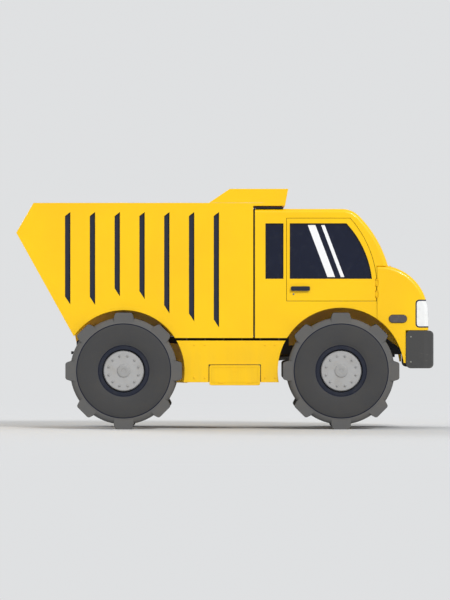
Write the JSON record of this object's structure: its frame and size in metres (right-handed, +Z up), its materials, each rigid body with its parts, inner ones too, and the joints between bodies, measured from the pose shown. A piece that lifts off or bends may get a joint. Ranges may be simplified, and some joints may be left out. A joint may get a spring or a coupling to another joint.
{
  "type": "two-axle dump truck",
  "caption": "Two-axle dump truck with a tipping bed, swinging tailgate, cab protector, rounded nose, opening doors and bonnet, and steered front wheels on lugged tyres",
  "frame": {"origin": "on the ground below the middle of the truck's length and width", "axes": "+X forward along the truck, +Y to its left, +Z up"},
  "size_m": [5.846, 2.7018, 3.364],
  "materials": {
    "yellow_paint": "gloss enamel",
    "chassis_paint": "satin enamel",
    "bumper_paint": "satin enamel",
    "wheel_paint": "satin enamel",
    "tyre_rubber": "moulded rubber",
    "spring_steel": "oiled steel",
    "engine_iron": "painted iron",
    "rod_chrome": "hard chrome",
    "tinted_glass": "dark tinted",
    "lamp_white": "frosted clear lens",
    "lamp_grey": "smoked lens",
    "lamp_red": "red lens",
    "dark_plastic": "grained",
    "seat_fabric": "woven"
  },
  "bodies": {
    "chassis": {"frame_rail_left": "chassis_paint", "frame_rail_right": "chassis_paint", "cross_members": "chassis_paint", "front_axle": "chassis_paint", "rear_axle": "chassis_paint", "leaf_springs": "spring_steel", "engine_block": "engine_iron", "propeller_shaft": "chassis_paint", "side_panel_left": "yellow_paint", "side_panel_right": "yellow_paint", "side_boxes": "yellow_paint", "bumper": "bumper_paint", "cab_side_left": "yellow_paint", "cab_side_right": "yellow_paint", "cab_roof": "yellow_paint", "cab_back": "yellow_paint", "cab_floor": "yellow_paint", "cab_glass": "tinted_glass", "nose_shell": "yellow_paint", "grille": "dark_plastic", "headlamps": "lamp_white", "marker_lamps": "lamp_grey", "tail_lamps": "lamp_red", "seats": "seat_fabric", "dashboard": "dark_plastic", "steering_wheel": "dark_plastic"},
    "bed": {"bed_floor": "yellow_paint", "bed_side_left": "yellow_paint", "bed_side_right": "yellow_paint", "bed_front_wall": "yellow_paint"},
    "tailgate": {"tailgate": "yellow_paint"},
    "hoist_barrels": {"hoist_barrels": "chassis_paint"},
    "hoist_rods": {"hoist_rods": "rod_chrome"},
    "bonnet_lid": {"bonnet_lid": "yellow_paint"},
    "door_left": {"door_left": "yellow_paint", "door_glass_left": "tinted_glass", "door_handle_left": "dark_plastic"},
    "door_right": {"door_right": "yellow_paint", "door_glass_right": "tinted_glass", "door_handle_right": "dark_plastic"},
    "knuckle_left": {"knuckle_left": "chassis_paint"},
    "knuckle_right": {"knuckle_right": "chassis_paint"},
    "tie_rod": {"tie_rod": "chassis_paint"},
    "wheel_front_left": {"tyre_front_left": "tyre_rubber", "wheel_front_left": "wheel_paint"},
    "wheel_front_right": {"tyre_front_right": "tyre_rubber", "wheel_front_right": "wheel_paint"},
    "wheel_rear_left": {"tyre_rear_left": "tyre_rubber", "wheel_rear_left": "wheel_paint"},
    "wheel_rear_right": {"tyre_rear_right": "tyre_rubber", "wheel_rear_right": "wheel_paint"}
  },
  "joints": [
    {"name": "bed_tip", "type": "hinge", "parent": "chassis", "child": "bed", "pos_m": [-2.04, 0, 1.2], "axis": [0, -1, 0], "range_deg": [0, 50]},
    {"name": "tailgate_swing", "type": "hinge", "parent": "bed", "child": "tailgate", "pos_m": [-2.85744, 0, 2.73493], "axis": [0, 1, 0], "range_deg": [0, 50]},
    {"name": "hoist_swing", "type": "hinge", "parent": "chassis", "child": "hoist_barrels", "pos_m": [-0.7, 0, 1.03], "axis": [0, 1, 0], "range_deg": [0, 1.08]},
    {"name": "hoist_extend", "type": "slide", "parent": "hoist_barrels", "child": "hoist_rods", "axis": [-0.8528, 0, 0.5223], "range_m": [0, 0.5306]},
    {"name": "steer_left", "type": "hinge", "parent": "chassis", "child": "knuckle_left", "pos_m": [1.624, 1.06, 0.815], "axis": [0, 0, 1], "range_deg": [-28, 28]},
    {"name": "steer_right", "type": "hinge", "parent": "chassis", "child": "knuckle_right", "pos_m": [1.624, -1.06, 0.815], "axis": [0, 0, 1], "range_deg": [-28, 28]},
    {"name": "tie_rod_swing", "type": "hinge", "parent": "knuckle_left", "child": "tie_rod", "pos_m": [1.464, 1.06, 0.815], "axis": [0, 0, 1], "range_deg": [-28, 28]},
    {"name": "door_left_swing", "type": "hinge", "parent": "chassis", "child": "door_left", "pos_m": [2.125, 1.2, 1.9], "axis": [0, 0, -1], "range_deg": [0, 65]},
    {"name": "door_right_swing", "type": "hinge", "parent": "chassis", "child": "door_right", "pos_m": [2.125, -1.2, 1.9], "axis": [0, 0, 1], "range_deg": [0, 65]},
    {"name": "bonnet_lift", "type": "hinge", "parent": "chassis", "child": "bonnet_lid", "pos_m": [2.325, 0, 2.27589], "axis": [0, -1, 0], "range_deg": [0, 50]},
    {"name": "spin_front_left", "type": "hinge", "parent": "knuckle_left", "child": "wheel_front_left", "pos_m": [1.624, 1.11, 0.815], "axis": [0, 1, 0], "continuous": true},
    {"name": "spin_front_right", "type": "hinge", "parent": "knuckle_right", "child": "wheel_front_right", "pos_m": [1.624, -1.11, 0.815], "axis": [0, 1, 0], "continuous": true},
    {"name": "spin_rear_left", "type": "hinge", "parent": "chassis", "child": "wheel_rear_left", "pos_m": [-1.417, 1.11, 0.815], "axis": [0, 1, 0], "continuous": true},
    {"name": "spin_rear_right", "type": "hinge", "parent": "chassis", "child": "wheel_rear_right", "pos_m": [-1.417, -1.11, 0.815], "axis": [0, 1, 0], "continuous": true}
  ],
  "couplings": [
    {"joint": "hoist_swing", "follows": "bed_tip", "ratio": 0.020675},
    {"joint": "hoist_extend", "follows": "bed_tip", "m_per_rad": 0.60748},
    {"joint": "steer_right", "follows": "steer_left", "ratio": 1},
    {"joint": "tie_rod_swing", "follows": "steer_left", "ratio": -1}
  ]
}
